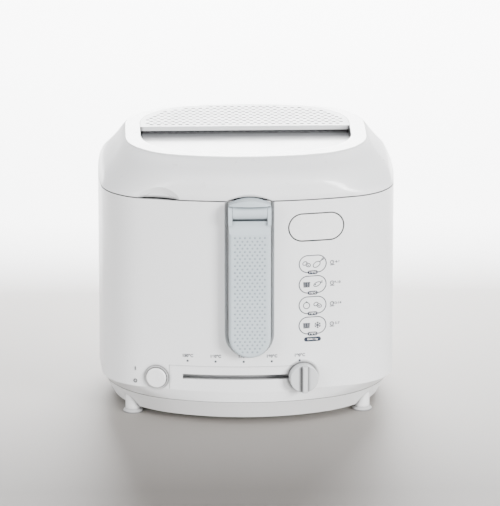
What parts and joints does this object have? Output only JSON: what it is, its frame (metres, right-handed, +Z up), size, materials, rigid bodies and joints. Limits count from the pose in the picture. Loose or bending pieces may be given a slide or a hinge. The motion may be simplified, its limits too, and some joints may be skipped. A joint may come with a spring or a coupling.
{
  "type": "deep fryer",
  "caption": "Household deep fryer with a hinged lid and window, oil bowl, lifting basket, folding front handle, power button, temperature slider and lid release.",
  "frame": {"origin": "on the table, under the middle of the body", "axes": "+Z up, -Y the front with the handle, +X to the right as seen from the front"},
  "size_m": [0.3, 0.29, 0.2755],
  "materials": {
    "casing_plastic": "satin white moulded plastic, very fine texture",
    "lid_plastic": "satin white moulded plastic",
    "tray_plastic": "white moulded plastic, slightly matt",
    "foot_plastic": "white moulded plastic",
    "foot_rubber": "translucent pale rubber",
    "inner_plastic": "pale grey heat resistant plastic",
    "bowl_metal": "dark non-stick coating on aluminium",
    "steel_sheet": "plain steel sheet",
    "element_metal": "oxidised steel tube",
    "basket_steel": "bright chromed wire",
    "control_plastic": "white gloss plastic",
    "knob_plastic": "silver grey plastic",
    "handle_plastic": "pale blue grey plastic with a dimpled face",
    "window_glass": "clear window, lightly misted",
    "grille_plastic": "white moulded plastic",
    "seal_rubber": "grey silicone",
    "spring_steel": "spring steel wire",
    "pin_steel": "turned steel",
    "electric_plastic": "black insulating plastic",
    "ceramic_block": "plain ceramic"
  },
  "bodies": {
    "housing": {"outer_casing": "casing_plastic", "base_tray": "tray_plastic", "foot_front_left": "foot_plastic", "foot_rear_left": "foot_plastic", "foot_front_right": "foot_plastic", "foot_rear_right": "foot_plastic", "foot_pad_front_left": "foot_rubber", "foot_pad_rear_left": "foot_rubber", "foot_pad_front_right": "foot_rubber", "foot_pad_rear_right": "foot_rubber", "rim_collar": "inner_plastic", "oil_bowl": "bowl_metal", "heating_element": "element_metal", "heat_reflector": "steel_sheet", "reflector_posts": "steel_sheet", "bowl_spacers": "ceramic_block", "tray_screws": "pin_steel", "slider_rail": "inner_plastic", "thermostat": "electric_plastic", "thermostat_bracket": "steel_sheet", "thermal_fuse": "ceramic_block", "thermostat_bulb": "spring_steel", "terminal_block": "electric_plastic", "power_bezel": "control_plastic", "main_switch": "electric_plastic", "power_spring": "spring_steel", "release_spring_left": "spring_steel", "release_spring_right": "spring_steel", "spring_seats": "inner_plastic", "latch_pin": "pin_steel", "latch_bracket": "inner_plastic", "hinge_bracket": "casing_plastic", "hinge_pin": "pin_steel", "lid_spring": "spring_steel", "cord_inlet": "electric_plastic"},
    "lid": {"lid_shell": "lid_plastic", "window_gasket": "seal_rubber", "viewing_window": "window_glass", "metal_filter": "steel_sheet", "filter_grille": "grille_plastic", "lid_inner_plate": "steel_sheet", "lid_screws": "pin_steel", "lid_seal": "seal_rubber", "lid_catch": "inner_plastic"},
    "basket": {"frying_basket": "basket_steel", "basket_rim": "basket_steel", "basket_bracket": "handle_plastic"},
    "handle": {"handle_grip": "handle_plastic", "handle_pin": "pin_steel"},
    "temperature_slider": {"temperature_knob": "knob_plastic", "slider_carriage": "inner_plastic"},
    "power_key": {"power_button": "control_plastic"},
    "release_key": {"release_button": "control_plastic"},
    "latch": {"latch_lever": "inner_plastic"}
  },
  "joints": [
    {"name": "lid_hinge", "type": "hinge", "parent": "housing", "child": "lid", "pos_m": [0, 0.139, 0.24], "axis": [-1, 0, 0], "range_deg": [0, 85]},
    {"name": "basket_lift", "type": "slide", "parent": "housing", "child": "basket", "axis": [0, 0, 1], "range_m": [0, 0.035]},
    {"name": "handle_fold", "type": "hinge", "parent": "basket", "child": "handle", "pos_m": [0, -0.1376, 0.2278], "axis": [-1, 0, 0], "range_deg": [0, 90]},
    {"name": "temperature_slide", "type": "hinge", "parent": "housing", "child": "temperature_slider", "pos_m": [0, 0.232, 0.0533], "axis": [0, 0, 1], "range_deg": [-18.5, 0]},
    {"name": "power_press", "type": "slide", "parent": "housing", "child": "power_key", "axis": [0.2566, 0.9665, 0], "range_m": [0, 0.003], "stiffness_N_per_m": 900, "springref_m": -0.001, "deforming": ["power_spring"]},
    {"name": "release_press", "type": "slide", "parent": "housing", "child": "release_key", "axis": [-0.1852, 0.9827, 0], "range_m": [0, 0.0036], "stiffness_N_per_m": 1200, "springref_m": -0.001, "deforming": ["release_spring_left", "release_spring_right"]},
    {"name": "latch_swing", "type": "hinge", "parent": "housing", "child": "latch", "pos_m": [0.066, -0.1064, 0.2295], "axis": [1, 0, 0], "range_deg": [0, 9]}
  ],
  "couplings": [
    {"joint": "latch_swing", "follows": "release_press", "rad_per_m": 43.6}
  ]
}
